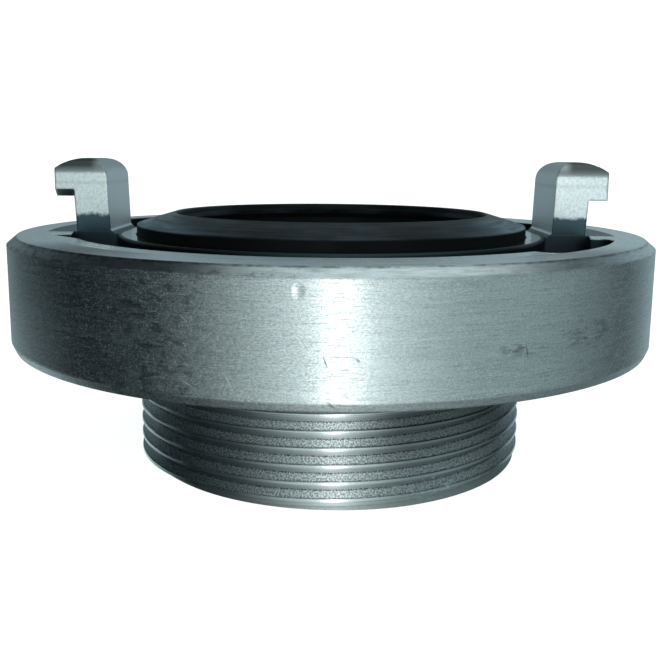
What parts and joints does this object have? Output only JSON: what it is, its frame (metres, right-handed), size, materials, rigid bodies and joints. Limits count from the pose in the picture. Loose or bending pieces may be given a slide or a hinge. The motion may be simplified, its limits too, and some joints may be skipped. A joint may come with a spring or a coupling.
{
  "type": "threaded hose coupling half",
  "caption": "Fixed half of a symmetrical two-lug hose coupling: a one-piece aluminium ring with hooked lugs, a lip seal in its collar and a male pipe thread.",
  "frame": {"origin": "centre of the pipe thread's end face, on which the part stands", "axes": "+Z along the waterway, out of the coupling face; the two lugs stand on +X and -X"},
  "size_m": [0.096, 0.096, 0.0452],
  "materials": {
    "aluminium_body": "turned and worn",
    "black_rubber": "matt"
  },
  "bodies": {
    "root": {"coupling_body": "aluminium_body", "sealing_ring": "black_rubber"}
  },
  "joints": []
}
